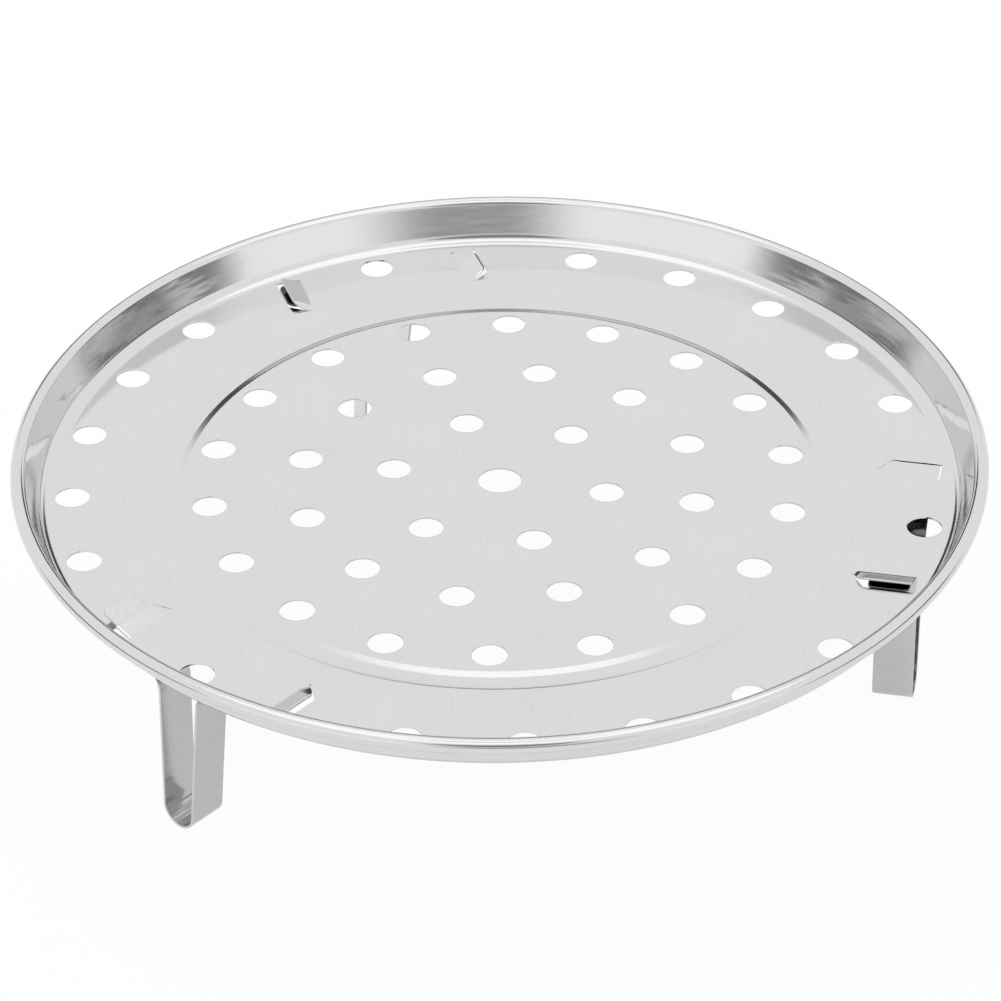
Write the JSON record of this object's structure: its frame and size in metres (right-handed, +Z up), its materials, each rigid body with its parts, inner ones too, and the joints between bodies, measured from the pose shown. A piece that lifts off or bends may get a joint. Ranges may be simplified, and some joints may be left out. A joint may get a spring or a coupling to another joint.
{
  "type": "steamer basket",
  "caption": "Round perforated steel steaming tray with a rolled rim, raised on bent strip legs tucked through louvres, for holding food over water in a pot.",
  "frame": {"origin": "on the floor under the middle of the tray", "axes": "+Z up along the tray's axis, +Y towards the leg at the back of the picture"},
  "size_m": [0.2234, 0.2234, 0.0576],
  "materials": {
    "sheet_steel": "finely brushed stainless sheet",
    "strip_steel": "plain rolled stainless strip"
  },
  "bodies": {
    "root": {"tray": "sheet_steel", "leg_back": "strip_steel", "leg_right": "strip_steel", "leg_left": "strip_steel"}
  },
  "joints": []
}
